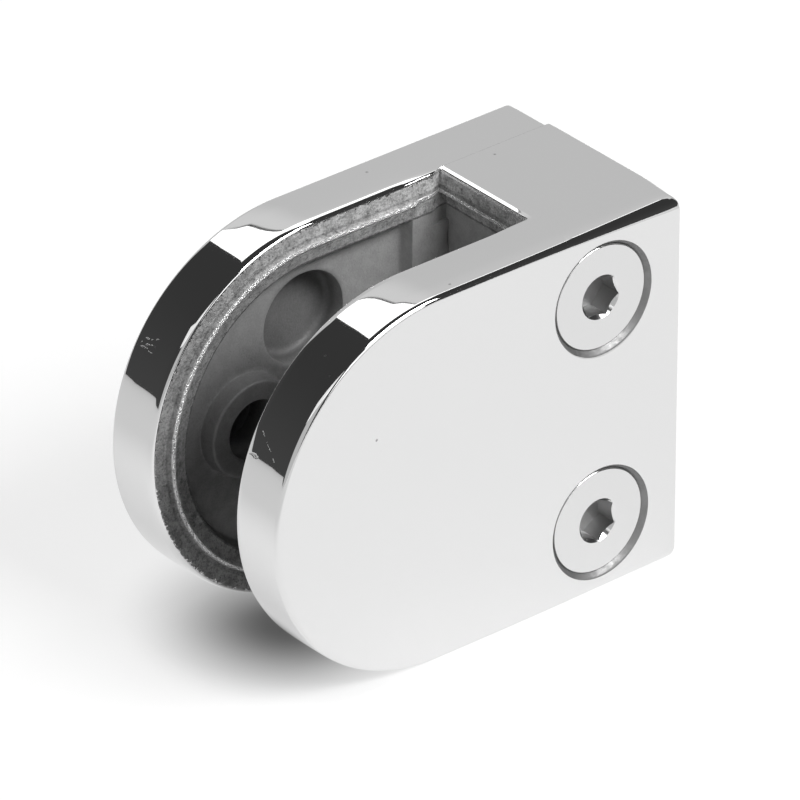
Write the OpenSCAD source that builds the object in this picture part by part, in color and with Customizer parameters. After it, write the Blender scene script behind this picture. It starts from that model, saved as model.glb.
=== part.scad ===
// Glass panel clamp: a D-shaped jaw cast in one with its bridge block, and a
// separate cover plate that two countersunk screws draw onto the bridge.
// X points out of the mounting face, Y runs across the jaws from the screw
// heads to the cover plate, and Z runs up. The origin is the centre of the
// mounting face, so the round ends of the jaws lie towards -X.

/* [Clamp] */
// Length from the mounting face to the round tip
clamp_length = 50; // [46:1:64]
// Height of the clamp, which is also the diameter of the round ends
clamp_height = 40; // [38:1:48]
// Width over both jaws
clamp_width = 25; // [24:0.5:32]
// Thickness of the jaw that is cast with the bridge
body_jaw = 6.25; // [6:0.25:7.5]
// Thickness of the cover plate
plate_jaw = 6.25; // [6:0.25:7.5]
// Depth of the bridge, from the mounting face to the edge of the glass
bridge_depth = 14; // [14:0.5:17]

/* [Edges] */
// Radius of the polished edges round the outer faces
outer_edge = 0.6; // [0.4:0.1:1.2]
// Radius of the polished edges along the slot
slot_edge = 0.3; // [0.2:0.1:0.8]
// Radius of the edges round the mounting face
mount_edge = 0.5; // [0.3:0.1:1.4]
// Radius of the cover plate's outer back edge
plate_corner = 1.0; // [0.5:0.1:1.6]
// Radius of the cover plate's back edge at the seam
seam_edge = 0.3; // [0.1:0.1:0.5]

/* [Bridge] */
// Height of the lips above and below the sunk end wall
lip_height = 2.7; // [2:0.1:3]
// Depth of the sunk end wall behind the lips
end_sink = 0.8; // [0.5:0.1:0.8]
// Thickness of the wall behind the fixing bolt's head
bolt_wall = 6; // [4:0.5:7]
// Diameter of the hole for the fixing bolt
bolt_hole = 8.5; // [6.5:0.5:9]
// Height of the pocket for the fixing bolt's head
head_pocket = 14.4; // [12:0.2:15]
// Depth that the head pocket is sunk into the cast jaw
pocket_undercut = 0.5; // [0.2:0.1:1]
// Corner radius of the head pocket
pocket_corner = 2; // [1:0.5:3]

/* [Cover plate] */
// Distance of the plate's back end from the mounting face
plate_setback = 0.5; // [0.3:0.1:1]
// Depth of the rebate that seats on the bridge
rebate = 0.45; // [0.3:0.05:0.7]
// Length of the slope that runs into the rebate above and below the tongue
rebate_slope = 1.3; // [0.8:0.1:1.8]
// Distance of the tongue's ends from the top and the bottom of the clamp
tongue_edge = 5.8; // [5:0.1:8]
// Gap between faces of the plate and the bridge that seat on each other
seat_gap = 0.05; // [0.03:0.01:0.1]

/* [Pad seats] */
// Distance of the bead's crest from the outline of the jaw
bead_inset = 2.6; // [2:0.1:3]
// Height of the bead
bead_height = 0.35; // [0.2:0.05:0.4]
// Width of the bead's outer flank
bead_outer = 0.6; // [0.4:0.1:0.8]
// Distance of the bead's ends from the bridge
bead_end = 2.4; // [2:0.1:5]
// Distance of the pad pocket's edge from the outline of the jaw
pad_inset = 4.3; // [4:0.1:5]
// Depth of the pad pocket
pad_depth = 1.5; // [1:0.1:1.7]
// Width of the pad pocket's sloping wall
pad_draft = 0.4; // [0.2:0.1:0.8]
// Distance of the pad pocket's end wall from the bridge
pad_end = 3.7; // [3.5:0.1:6]
// Diameter of the two round pits
pit_diameter = 9.8; // [7:0.2:10]
// Distance of the pits' centres from the top and the bottom of the clamp
pit_edge = 11.25; // [11:0.05:12]
// Depth of the pits below the pad pocket
pit_depth = 2.7; // [1.5:0.1:2.9]
// Radius at the foot of the pits
pit_foot = 0.8; // [0.4:0.1:1.2]

/* [Safety pin] */
// Distance of the safety pin's hole from the round tip
pin_inset = 12.5; // [11:0.1:13]
// Diameter of the boss round the safety pin's hole
pin_boss = 10.3; // [9:0.1:10.5]
// Diameter of the safety pin's hole
pin_hole = 6.2; // [4:0.1:6.5]
// Depth of the safety pin's hole, from the top of the boss
pin_depth = 4.6; // [3:0.1:4.8]

/* [Screws] */
// Distance of the screws from the mounting face
screw_inset = 9.7; // [9:0.1:9.7]
// Distance of the screws from the top and the bottom of the clamp
screw_edge = 7.65; // [7.2:0.05:7.7]
// Thread diameter of the screws
screw_diameter = 6; // [5:0.5:6]
// Diameter of the clearance holes through the body
screw_clearance = 6.3; // [6.3:0.1:6.4]
// Diameter of the countersinks at the face
sink_diameter = 12.4; // [11.6:0.1:12.6]
// Depth of the screw heads below the face
head_drop = 0.4; // [0.1:0.05:0.5]
// Height of the straight rim round a head
head_rim = 0.2; // [0.1:0.05:0.4]
// Width across the flats of the hex sockets
socket_size = 4; // [3:0.5:4]
// Depth of the hex sockets
socket_depth = 2.4; // [1.5:0.1:2.6]
// Radial gap between a screw and its tapped hole
thread_gap = 0.05; // [0.03:0.01:0.08]
// Thickness left behind the tapped holes
tap_floor = 1.2; // [1:0.1:1.8]
// Gap between the tip of a screw and the floor of its hole
tip_gap = 0.5; // [0.3:0.1:0.8]

/* [Hidden] */
$fn = 96;
over = 1;
end_radius = clamp_height / 2;
straight = clamp_length - end_radius;
near_face = -clamp_width / 2;
far_face = clamp_width / 2;
body_slot_face = near_face + body_jaw;
plate_slot_face = far_face - plate_jaw;
bridge_face = plate_slot_face + rebate;
plate_seat_face = bridge_face + seat_gap;
end_wall = -bridge_depth + end_sink;
tongue_end = end_wall - seat_gap;
lip_inside = end_radius - lip_height;
screw_level = end_radius - screw_edge;
tongue_level = end_radius - tongue_edge;
pit_level = end_radius - pit_edge;
tip_centre = -clamp_length + pin_inset;
pit_floor = pad_depth + pit_depth;
clearance_radius = screw_clearance / 2;
sink_radius = sink_diameter / 2;
tapped_radius = screw_diameter / 2;
shank_radius = tapped_radius - thread_gap;
head_radius = sink_radius - head_drop - head_rim - seat_gap * sqrt(2);
hole_end = far_face - tap_floor;
screw_end = hole_end - tip_gap;
tip_chamfer = 0.6;
mouth_chamfer = 0.3;
bead_crest = 0.15;
boss_draft = 0.25;

// Lays a piece drawn flat, outline in XY and thickness along Z, against the
// plane at the given Y, with its thickness towards +Y.
module laid_at(y) {
  translate([0, y, 0])
    rotate([-90, 0, 0])
      children();
}

// Half section of a jaw: X is the distance from its centre line and Y its
// thickness, with one radius at the first face and one at the second.
module jaw_section(thickness, first_edge, second_edge) {
  square([end_radius - first_edge, first_edge]);
  translate([end_radius - first_edge, first_edge])
    circle(first_edge);
  translate([0, first_edge])
    square([end_radius, thickness - first_edge - second_edge]);
  translate([0, thickness - second_edge])
    square([end_radius - second_edge, second_edge]);
  translate([end_radius - second_edge, thickness - second_edge])
    circle(second_edge);
}

// Sweeps a half section along a D: round the tip, then straight to x_end.
module swept_d(x_end) {
  translate([-straight, 0, 0])
    rotate_extrude(angle = 180, start = 90)
      children();
  for (side = [0, 1])
    mirror([0, side, 0])
      translate([-straight, 0, 0])
        rotate([90, 0, 90])
          linear_extrude(straight + x_end)
            children();
}

// Cutter that rounds an edge running along Z, with the solid at -X and -Y.
module edge_cutter(radius, length) {
  translate([-radius, -radius, 0])
    difference() {
      cube([radius + over, radius + over, length]);
      cylinder(r = radius, h = length * 4, center = true);
    }
}

// Bead that holds the rubber pad in place, drawn on the plane Z = 0.
module bead() {
  crest_line = end_radius - bead_inset;
  inner_flank = pad_inset - bead_inset - 0.1;
  swept_d(-bridge_depth - bead_end)
    polygon([
      [crest_line + bead_outer, -0.01],
      [crest_line + bead_crest, bead_height],
      [crest_line - bead_crest, bead_height],
      [crest_line - inner_flank, -0.01]
    ]);
}

// Pocket for the rubber pad, with sloping walls, cut downwards from Z = 0.
module pad_pocket() {
  edge = end_radius - pad_inset;
  difference() {
    swept_d(-bridge_depth - pad_end + over)
      polygon([
        [0, over],
        [edge + pad_draft * over / pad_depth, over],
        [edge - pad_draft, -pad_depth],
        [0, -pad_depth]
      ]);
    translate([-bridge_depth - pad_end, 0, 0])
      rotate([90, 0, 0])
        linear_extrude(clamp_height, center = true)
          polygon([
            [-pad_draft * 2, -pad_depth * 2],
            [over * 2, -pad_depth * 2],
            [over * 2, pad_depth * 2],
            [pad_draft * 2, pad_depth * 2]
          ]);
  }
}

// Round pit with a rounded foot, cut downwards from the floor of the pocket.
module pit() {
  radius = pit_diameter / 2;
  translate([0, 0, -pit_floor])
    rotate_extrude() {
      square([radius - pit_foot, pit_foot]);
      intersection() {
        translate([radius - pit_foot, pit_foot])
          circle(pit_foot);
        square([radius, pit_foot]);
      }
      translate([0, pit_foot])
        square([radius, pit_floor - pit_foot]);
    }
}

// One inner face of a jaw, on the plane Z = 0 of the solid that is passed in.
module with_pad_seat() {
  difference() {
    union() {
      children();
      bead();
    }
    pad_pocket();
    for (side = [-1, 1])
      translate([-straight, side * pit_level, 0])
        pit();
  }
}

// Drafted boss that the safety pin stands in, from the floor of the pocket.
module pin_boss_solid() {
  translate([tip_centre, 0, -pad_depth - 0.5])
    cylinder(d1 = pin_boss + boss_draft, d2 = pin_boss, h = pad_depth + 0.5 + bead_height);
}

// Hole for the safety pin, cut downwards from the top of the boss.
module pin_bore() {
  translate([tip_centre, 0, bead_height - pin_depth])
    cylinder(d = pin_hole, h = pin_depth + over);
}

// Puts its children on both screw axes, drawn along +Z from the outer face.
module at_screws() {
  for (side = [-1, 1])
    translate([-screw_inset, near_face, side * screw_level])
      rotate([-90, 0, 0])
        children();
}

// Countersunk clearance hole, cut from the outer face towards the plate.
module screw_passage() {
  translate([0, 0, -over])
    cylinder(r = clearance_radius, h = clamp_width);
  translate([0, 0, -over])
    cylinder(r1 = sink_radius + over, r2 = 0, h = sink_radius + over);
}

// Bridge block between the jaws, with its ends rolled over at the slot.
module bridge() {
  difference() {
    translate([-bridge_depth, near_face + outer_edge, -end_radius])
      cube([bridge_depth, bridge_face - near_face - outer_edge, clamp_height]);
    for (side = [0, 1])
      mirror([0, 0, side])
        translate([-bridge_depth, bridge_face + over, end_radius])
          rotate([90, 0, 0])
            mirror([1, 0, 0])
              edge_cutter(slot_edge, clamp_width);
    laid_at(0)
      translate([-bridge_depth - over, -lip_inside, body_slot_face])
        cube([end_sink + over, lip_inside * 2, clamp_width]);
  }
}

// Pocket and hole for the bolt that fixes the clamp, along the X axis.
module fixing_cuts() {
  pocket_base = body_slot_face - pocket_undercut;
  half = head_pocket / 2;
  translate([-bridge_depth, 0, 0])
    rotate([90, 0, 90])
      linear_extrude(bridge_depth - bolt_wall) {
        translate([pocket_base, pocket_corner - half])
          square([clamp_width, head_pocket - pocket_corner * 2]);
        translate([pocket_base + pocket_corner, -half])
          square([clamp_width, head_pocket]);
        for (side = [-1, 1])
          translate([pocket_base + pocket_corner, side * (half - pocket_corner)])
            circle(pocket_corner);
      }
  translate([-bridge_depth, 0, 0])
    rotate([0, 90, 0])
      cylinder(d = bolt_hole, h = bridge_depth + over);
}

// Rounds the four edges of a back face between two Y values. The upright
// edge at each Y has a radius of its own.
module back_edges(x_face, y_low, low_radius, y_high, high_radius) {
  translate([x_face, y_high, -end_radius - over])
    edge_cutter(high_radius, clamp_height + over * 2);
  translate([x_face, y_low, -end_radius - over])
    mirror([0, 1, 0])
      edge_cutter(low_radius, clamp_height + over * 2);
  for (side = [0, 1])
    mirror([0, 0, side])
      translate([x_face, y_high + over, end_radius])
        rotate([90, 0, 0])
          edge_cutter(mount_edge, y_high - y_low + over * 2);
}

// Casting of the near jaw and the bridge block.
module clamp_body() {
  color("gainsboro")
    difference() {
      union() {
        laid_at(body_slot_face)
          with_pad_seat()
            translate([0, 0, -body_jaw])
              swept_d(0)
                jaw_section(body_jaw, outer_edge, slot_edge);
        laid_at(body_slot_face)
          pin_boss_solid();
        bridge();
      }
      laid_at(body_slot_face)
        pin_bore();
      at_screws()
        screw_passage();
      fixing_cuts();
      back_edges(0, near_face, mount_edge, bridge_face, mount_edge);
    }
}

// Rebate of the plate: behind the tongue over the whole height, and from the
// end of the slope above and below the tongue.
module plate_rebate() {
  depth = plate_seat_face - plate_slot_face;
  translate([tongue_end, plate_slot_face - over, -end_radius - over])
    cube([bridge_depth + over, over + depth, clamp_height + over * 2]);
  for (side = [0, 1])
    mirror([0, 0, side])
      translate([0, 0, tongue_level])
        linear_extrude(end_radius)
          polygon([
            [-bridge_depth - rebate_slope, plate_slot_face],
            [-bridge_depth, plate_seat_face],
            [tongue_end + over, plate_seat_face],
            [tongue_end + over, plate_slot_face - over],
            [-bridge_depth - rebate_slope, plate_slot_face - over]
          ]);
}

// Tapped hole in the plate, drawn along +Z from the outer face of the body.
module tapped_hole() {
  mouth = plate_seat_face - near_face;
  translate([0, 0, mouth - over])
    cylinder(r = tapped_radius, h = hole_end - plate_seat_face + over);
  translate([0, 0, mouth - seat_gap])
    cylinder(r1 = tapped_radius + mouth_chamfer + seat_gap, r2 = tapped_radius,
      h = mouth_chamfer + seat_gap);
}

// Cover plate, which is the far jaw.
module clamp_plate() {
  color("lightgray")
    difference() {
      union() {
        laid_at(plate_slot_face)
          mirror([0, 0, 1])
            with_pad_seat()
              translate([0, 0, -plate_jaw])
                swept_d(-plate_setback)
                  jaw_section(plate_jaw, outer_edge, slot_edge);
        laid_at(plate_slot_face)
          mirror([0, 0, 1])
            pin_boss_solid();
      }
      laid_at(plate_slot_face)
        mirror([0, 0, 1])
          pin_bore();
      plate_rebate();
      at_screws()
        tapped_hole();
      back_edges(-plate_setback, plate_seat_face, seam_edge, far_face, plate_corner);
    }
}

// Countersunk hex-socket screw, drawn along +Z from the top of its head.
module screw() {
  length = screw_end - near_face - head_drop;
  cone = head_radius - shank_radius;
  socket_radius = socket_size / sqrt(3);
  difference() {
    union() {
      cylinder(r = head_radius, h = head_rim);
      translate([0, 0, head_rim])
        cylinder(r1 = head_radius, r2 = shank_radius, h = cone);
      cylinder(r = shank_radius, h = length - tip_chamfer);
      translate([0, 0, length - tip_chamfer])
        cylinder(r1 = shank_radius, r2 = shank_radius - tip_chamfer, h = tip_chamfer);
    }
    translate([0, 0, -over])
      cylinder(r = socket_radius, h = socket_depth + over, $fn = 6);
    translate([0, 0, -over])
      cylinder(r1 = socket_radius + mouth_chamfer + over, r2 = socket_radius - mouth_chamfer / 2,
        h = mouth_chamfer * 1.5 + over);
  }
}

// Puts a screw on its axis, on the side given as 1 for upper and -1 for lower.
module placed_screw(side, socket_turn) {
  color("silver")
    translate([-screw_inset, near_face + head_drop, side * screw_level])
      rotate([-90, 0, 0])
        rotate([0, 0, socket_turn])
          screw();
}

module upper_screw() {
  placed_screw(1, 10);
}

module lower_screw() {
  placed_screw(-1, 25);
}

clamp_body();
clamp_plate();
upper_screw();
lower_screw();
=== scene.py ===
# %% [markdown]
# # Glass panel clamp
# This clamp holds the edge of a glass panel. One casting makes the near jaw and the
# bridge block behind it, a second casting is the cover plate, and two countersunk
# screws draw the plate onto the bridge. The outside is polished like a mirror, and
# the inside of the slot is left as it came out of the mould.
#
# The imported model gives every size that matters, so the lesson starts by loading it
# and keeping its box. Nothing that follows may grow past that box.

# %% Load the frame
import math
from functools import partial

import bmesh
import bpy
from mathutils import Matrix, Vector, noise
from mathutils.geometry import delaunay_2d_cdt


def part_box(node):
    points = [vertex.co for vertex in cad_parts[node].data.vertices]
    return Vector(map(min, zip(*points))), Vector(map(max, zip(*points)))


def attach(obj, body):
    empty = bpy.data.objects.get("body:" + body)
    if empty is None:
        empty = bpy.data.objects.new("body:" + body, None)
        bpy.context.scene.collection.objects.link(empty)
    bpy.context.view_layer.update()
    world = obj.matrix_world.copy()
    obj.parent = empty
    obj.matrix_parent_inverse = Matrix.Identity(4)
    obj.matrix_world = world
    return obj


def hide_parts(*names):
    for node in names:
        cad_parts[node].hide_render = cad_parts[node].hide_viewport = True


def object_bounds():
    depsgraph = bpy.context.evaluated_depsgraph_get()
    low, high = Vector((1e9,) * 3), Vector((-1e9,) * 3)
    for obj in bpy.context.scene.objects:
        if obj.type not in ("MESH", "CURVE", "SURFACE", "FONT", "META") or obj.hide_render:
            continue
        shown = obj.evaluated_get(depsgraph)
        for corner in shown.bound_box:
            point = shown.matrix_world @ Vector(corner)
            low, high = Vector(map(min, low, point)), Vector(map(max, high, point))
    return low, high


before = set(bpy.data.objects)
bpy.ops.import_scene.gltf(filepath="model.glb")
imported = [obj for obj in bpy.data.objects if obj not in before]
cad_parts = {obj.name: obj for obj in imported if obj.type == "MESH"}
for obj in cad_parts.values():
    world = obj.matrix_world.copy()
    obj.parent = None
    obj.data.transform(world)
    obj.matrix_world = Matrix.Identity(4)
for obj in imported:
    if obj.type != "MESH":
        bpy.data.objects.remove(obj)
cad_box = [list(corner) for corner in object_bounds()]
print("CAD nodes:", sorted(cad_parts))
print("CAD box in metres:", cad_box)

# %% [markdown]
# ## Sizes from the frame
# The boxes of the nodes say where the faces, the round tips and the screw axes are.
# What a box can't say, such as the radius of an edge, is a named size in millimetres,
# next to the step that uses it.

# %% Faces and axes
MM = 0.001
body_low, body_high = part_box("clamp_body")
plate_low, plate_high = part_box("clamp_plate")
screw_low, screw_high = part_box("upper_screw")

half_height = body_high.z
tip = body_low.x
mounting_face = body_high.x
near_face = body_low.y
far_face = plate_high.y
seat_face = body_high.y
plate_back = plate_high.x
end_centre = tip + half_height

bead_height = 0.35 * MM
jaw = far_face - plate_low.y - bead_height
body_slot = near_face + jaw
plate_slot = far_face - jaw

screw_x = (screw_low.x + screw_high.x) / 2
screw_z = (screw_low.z + screw_high.z) / 2
head_radius = (screw_high.x - screw_low.x) / 2
head_top = screw_low.y
screw_tip = screw_high.y
print(f"jaws {jaw / MM:.2f} mm thick, slot {(plate_slot - body_slot) / MM:.2f} mm wide")
print(f"screws at x {screw_x / MM:.2f} mm and z {screw_z / MM:.2f} mm")

# %% [markdown]
# ## Camera
# A long lens keeps the parallel edges of such a small thing parallel, as a product
# shot does. The camera stands on the screw side, in front of the round tips and
# above them, and looks at the middle of the box.

# %% Camera
SENSOR_WIDTH = 36
LENS = 552.7
CAMERA_AZIMUTH, CAMERA_ELEVATION, CAMERA_ROLL = -140.04, 30.02, 0.2
CAMERA_DISTANCE = 1.1746
AIM_SHIFT = Vector((0.64, 0.15, 1.0)) * MM

middle = (Vector(cad_box[0]) + Vector(cad_box[1])) / 2
middle.z = 0.0


def direction(azimuth, elevation):
    """Unit vector towards a compass direction: azimuth 0 is +Y and 90 is +X."""
    a, e = math.radians(azimuth), math.radians(elevation)
    return Vector((math.sin(a) * math.cos(e), math.cos(a) * math.cos(e), math.sin(e)))


camera = bpy.data.objects.new("camera", bpy.data.cameras.new("camera"))
bpy.context.scene.collection.objects.link(camera)
bpy.context.scene.camera = camera
camera.data.sensor_width = SENSOR_WIDTH
camera.data.lens = LENS
aim = middle + AIM_SHIFT
camera.location = aim + direction(CAMERA_AZIMUTH, CAMERA_ELEVATION) * CAMERA_DISTANCE
look = (aim - camera.location).to_track_quat("-Z", "Y").to_matrix().to_4x4()
roll = Matrix.Rotation(math.radians(CAMERA_ROLL), 4, "Z")
camera.matrix_world = Matrix.Translation(camera.location) @ look @ roll
bpy.context.scene.view_settings.view_transform = "Standard"
print("camera at", [round(c, 4) for c in camera.location])

# %% [markdown]
# ## Softboxes
# Chrome has no colour of its own: what we see is the room. This one is dark, and each
# bright patch in the metal is a lamp. Two softboxes draw the bands, a strip in front
# lights the face, and a strong key lamp throws the shadow. Area lamps do it all: they
# show in the mirror, light the rough skin and cast soft shadows. Each has a direction,
# a width and a height in degrees as seen from the clamp, and a radiance.

# %% Softboxes
LAMP_DISTANCE = 2.6


def softbox(name, azimuth, elevation, wide, high, radiance):
    """Area lamp seen from the clamp under the given angles, aimed at the clamp."""
    data = bpy.data.lights.new(name, "AREA")
    data.shape = "RECTANGLE"
    data.size = 2 * LAMP_DISTANCE * math.tan(math.radians(wide / 2))
    data.size_y = 2 * LAMP_DISTANCE * math.tan(math.radians(high / 2))
    data.energy = radiance * math.pi * data.size * data.size_y
    lamp = bpy.data.objects.new(name, data)
    bpy.context.scene.collection.objects.link(lamp)
    lamp.location = direction(azimuth, elevation) * LAMP_DISTANCE
    lamp.rotation_euler = lamp.location.to_track_quat("Z", "Y").to_euler()
    lamp.visible_camera = False
    return lamp


for lamp in (softbox("long_softbox", 27, 52, 37, 17, 1.7),
             softbox("left_softbox", -112, 44, 70, 14, 0.95),
             softbox("front_strip", 168, 18, 34, 24, 1.6),
             softbox("key_softbox", 160, 46, 34, 20, 15.0)):
    print(lamp.name, [round(c, 2) for c in lamp.location], round(lamp.data.energy, 1), "W")


# %% [markdown]
# ## Short words for nodes
# A node tree is a sum drawn with wires. These helpers let us write it down again: each
# makes one node, and takes numbers and other nodes' sockets alike.

# %% Node helpers
def feed(tree, socket, value):
    """Wires another socket to an input, or sets the input to a plain value."""
    if isinstance(value, bpy.types.NodeSocket):
        tree.links.new(value, socket)
    else:
        socket.default_value = value


def node(tree, kind, inputs=None, **settings):
    """New node: first its settings, then its inputs by name or number."""
    made = tree.nodes.new(kind)
    for key, value in settings.items():
        setattr(made, key, value)
    for key, value in (inputs or {}).items():
        feed(tree, made.inputs[key], value)
    return made


def calc(operation, tree, first, *others):
    """Math node; with more than two operands, a chain of them."""
    for other in others or (0.0,):
        first = node(tree, "ShaderNodeMath", {0: first, 1: other}, operation=operation).outputs[0]
    return first


plus, minus, times, over, least, most, size_of = (partial(calc, operation) for operation in (
    "ADD", "SUBTRACT", "MULTIPLY", "DIVIDE", "MINIMUM", "MAXIMUM", "ABSOLUTE"))


def vector_calc(tree, operation, first, second):
    """Vector Math node; a distance or a dot product comes out as a number."""
    at = 3 if operation == "SCALE" else 1
    made = node(tree, "ShaderNodeVectorMath", {0: first, at: second}, operation=operation)
    return made.outputs["Value" if operation in ("DISTANCE", "DOT_PRODUCT") else "Vector"]


def ramp(tree, value, from_low, from_high, to_low=0.0, to_high=1.0, smooth=True):
    """Map Range node that takes a value from one range to another, clamped."""
    inputs = dict(enumerate((value, from_low, from_high, to_low, to_high)))
    kind = "SMOOTHSTEP" if smooth else "LINEAR"
    return node(tree, "ShaderNodeMapRange", inputs, interpolation_type=kind).outputs[0]


def mix(tree, share, first, second):
    """First value where the share is 0, second where it is 1."""
    inputs = {0: share, 2: first, 3: second}
    return node(tree, "ShaderNodeMix", inputs, data_type="FLOAT").outputs[0]


# %% [markdown]
# ## Room
# Behind the clamp hangs a pale paper sweep, and a pale wall stands on its left. They
# could be big lit planes, but at this distance only the direction matters, so the
# world background draws them by compass direction. The rough skin gets only part of
# the sweep's light, because the paper floor would stand in its way, and the camera
# itself sees plain white.

# %% World
def build_world(tree):
    """Dark room with the sweep and the wall."""
    tree.nodes.clear()
    towards = node(tree, "ShaderNodeTexCoord").outputs["Generated"]
    x, y, z = node(tree, "ShaderNodeSeparateXYZ", {0: towards}).outputs
    azimuth = calc("DEGREES", tree, calc("ARCTAN2", tree, x, y))
    elevation = calc("DEGREES", tree, calc("ARCSINE", tree, z))

    def patch(first_side, second_side, top):
        """Mask of a patch; each limit is (degrees outside it, degrees inside it)."""
        return times(tree, ramp(tree, azimuth, *first_side), ramp(tree, azimuth, *second_side),
                     ramp(tree, elevation, *top))

    in_sweep = patch((-4, 0), (88, 76), (42.6, 41.8))
    on_wall = patch((-76, -84), (-162, -150), (40, 35))
    sweep = ramp(tree, elevation, 28, 40, 0.76, 0.92)
    room = most(tree, ramp(tree, elevation, -5, 45, 0.075, 0.05), times(tree, on_wall, 0.7))
    rays = node(tree, "ShaderNodeLightPath").outputs
    mirrored = most(tree, rays["Is Glossy Ray"], rays["Is Transmission Ray"])
    shown_sweep = times(tree, in_sweep, most(tree, mirrored, 0.6))
    strength = most(tree, mix(tree, shown_sweep, room, sweep), rays["Is Camera Ray"])
    background = node(tree, "ShaderNodeBackground", {"Strength": strength})
    node(tree, "ShaderNodeOutputWorld", {"Surface": background.outputs[0]})


world = bpy.data.worlds.new("studio")
bpy.context.scene.world = world
world.use_nodes = True
build_world(world.node_tree)
print("world nodes:", len(world.node_tree.nodes))

# %% [markdown]
# ## Paper
# The clamp stands on white paper. A lit white surface renders a little under white, so a darker
# paper gets a glow that only camera and mirror rays see: the paper turns white and the metal shows
# the same white. Under the clamp the glow fades out, which paints a shadow over the lamps' own, and
# mirror rays see a painted pool of light round the clamp.

# %% Paper's look
PAPER_GREY = 0.3
PAINTED_SHADOW = (-12.5 * MM, 2.2 * MM)
PAINTED_SHADOW_REACH = (8.8 * MM, 10.6 * MM)
PAINTED_POOL = (45 * MM, -30 * MM)


def build_paper():
    """White paper whose glow paints a shadow under the clamp and a pool of light for mirrors."""
    material = bpy.data.materials.new("white_paper")
    material.use_nodes = True
    tree = material.node_tree
    tree.nodes.clear()
    place = node(tree, "ShaderNodeTexCoord").outputs["Object"]
    rays = node(tree, "ShaderNodeLightPath").outputs

    def away_from(spot, reach=(1.0, 1.0)):
        """Distance on the paper from a spot beside its middle, in reaches along x and y."""
        scaled = vector_calc(tree, "MULTIPLY", place, (1 / reach[0], 1 / reach[1], 1))
        return vector_calc(tree, "DISTANCE", scaled, (spot[0] / reach[0], spot[1] / reach[1], 0))

    # Painted shadow: the glow that camera rays see drops to almost nothing near this spot under the
    # clamp.
    from_painted_shadow = away_from(PAINTED_SHADOW, PAINTED_SHADOW_REACH)
    straight = most(tree, rays["Is Camera Ray"], rays["Is Transmission Ray"])
    seen = times(tree, straight, ramp(tree, from_painted_shadow, 0.1, 1.75, 0.06, 0.75))
    # Painted pool of light round the clamp, seen only in mirrors, which also see the painted
    # shadow.
    painted_pool = ramp(tree, away_from(PAINTED_POOL), 0.085, 0.15, 0.66, 0.44)
    mirrored = times(tree, rays["Is Glossy Ray"], ramp(tree, from_painted_shadow, 0.0, 0.9), painted_pool)
    glow = node(tree, "ShaderNodeEmission", {"Strength": plus(tree, seen, mirrored)})
    fibres = node(tree, "ShaderNodeBsdfPrincipled", {
        "Base Color": (PAPER_GREY, PAPER_GREY, PAPER_GREY, 1), "Roughness": 0.9,
        "Specular IOR Level": 0.1})
    both = node(tree, "ShaderNodeAddShader", {0: fibres.outputs[0], 1: glow.outputs[0]})
    node(tree, "ShaderNodeOutputMaterial", {"Surface": both.outputs[0]})
    return material


# %% Paper sheet
PAPER_HALF = 4.5
PAPER_DROP = 0.03 * MM

mesh = bpy.data.meshes.new("paper")
corners = [(x * PAPER_HALF, y * PAPER_HALF, 0) for x, y in ((-1, -1), (1, -1), (1, 1), (-1, 1))]
mesh.from_pydata(corners, [], [(0, 1, 2, 3)])
mesh.materials.append(build_paper())
paper = bpy.data.objects.new("paper", mesh)
paper.location = (middle.x, middle.y, body_low.z - PAPER_DROP)
bpy.context.scene.collection.objects.link(paper)
print("paper at z", round(paper.location.z, 5))

# %% [markdown]
# ## Finishes
# The clamp has four kinds of finish: mirror polish outside, the raw skin of the mould
# inside the slot, metal that a tool has cut or ground, and the bright steel of the
# screws. What differs is how smooth the surface is, and how evenly. Whatever more than
# one of them needs is a shader node group, built once: grain, the wobble that buffing
# leaves, scratches, and the distance from a jaw's edge.

# %% Helpers for groups
def new_group(name, inputs, outputs):
    """Group that gives numbers; an input is a number with a start, or a vector if that is None."""
    tree = bpy.data.node_groups.new(name, "ShaderNodeTree")
    for label, start in inputs.items():
        kind = "NodeSocketVector" if start is None else "NodeSocketFloat"
        socket = tree.interface.new_socket(label, in_out="INPUT", socket_type=kind)
        if start is not None:
            socket.default_value = start
    for label in outputs:
        tree.interface.new_socket(label, in_out="OUTPUT", socket_type="NodeSocketFloat")
    print("group", name, "takes", list(inputs), "and gives", list(outputs))
    return tree, node(tree, "NodeGroupInput").outputs, node(tree, "NodeGroupOutput").inputs


def noise_at(tree, vector, scale, detail=2.0, roughness=0.5, output=0):
    """Noise texture, in cells per metre; returns its factor or its colour."""
    return node(tree, "ShaderNodeTexNoise", {
        "Vector": vector, "Scale": scale, "Detail": detail, "Roughness": roughness}).outputs[output]


# %% Group: casting grain
def build_grain():
    """Grain of a mould's skin: height for a bump, and mottling from 0, dark, to 1, light."""
    tree, given, out = new_group(
        "casting_grain", {"Vector": None, "Grain Size": 0.25, "Pits": 0.5}, ("Height", "Mottle"))
    place = given["Vector"]
    per_metre = over(tree, 1 / MM, given["Grain Size"])
    fine = noise_at(tree, place, per_metre, 3.0, 0.65)
    patches = noise_at(tree, place, times(tree, per_metre, 0.16), 3.0)
    cells = node(tree, "ShaderNodeTexVoronoi",
                 {"Vector": place, "Scale": times(tree, per_metre, 0.55)}, feature="SMOOTH_F1")
    pits = times(tree, ramp(tree, cells.outputs["Distance"], 0.0, 0.35), given["Pits"])
    feed(tree, out["Height"], plus(tree, fine, pits))
    mottle = plus(tree, times(tree, fine, 0.6), times(tree, patches, 0.6))
    feed(tree, out["Mottle"], ramp(tree, mottle, 0.38, 0.82))
    return tree


grain_group = build_grain()


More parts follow.
